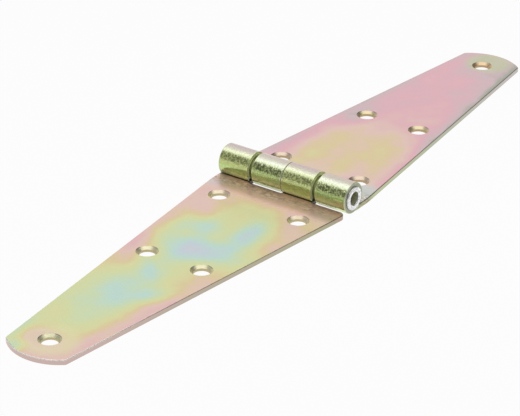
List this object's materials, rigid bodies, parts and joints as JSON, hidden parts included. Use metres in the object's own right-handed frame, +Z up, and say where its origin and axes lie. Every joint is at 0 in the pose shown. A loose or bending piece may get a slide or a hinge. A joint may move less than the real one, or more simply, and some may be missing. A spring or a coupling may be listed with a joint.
{
  "type": "triangular strap hinge",
  "caption": "Long triangular strap hinge of yellow-passivated sheet steel, with rolled interleaved knuckles, a hollow peened pin and countersunk screw holes.",
  "frame": {"origin": "middle of the barrel, on the plane of the leaves' undersides, with the hinge open flat", "axes": "+X along the gate leaf away from the barrel, +Y along the pin, +Z up out of the face that the screws enter"},
  "size_m": [0.3, 0.0578, 0.012],
  "materials": {
    "yellow_zinc": "zinc plated and yellow passivated, with pink, yellow, green and blue iridescence",
    "bright_zinc": "bright steel, smooth"
  },
  "bodies": {
    "frame_side": {"frame_leaf": "yellow_zinc", "hinge_pin": "bright_zinc"},
    "gate_side": {"gate_leaf": "yellow_zinc"}
  },
  "joints": [
    {"name": "leaf_fold", "type": "hinge", "parent": "frame_side", "child": "gate_side", "pos_m": [0, 0, 0.006], "axis": [0, -1, 0], "range_deg": [-78, 180]}
  ]
}
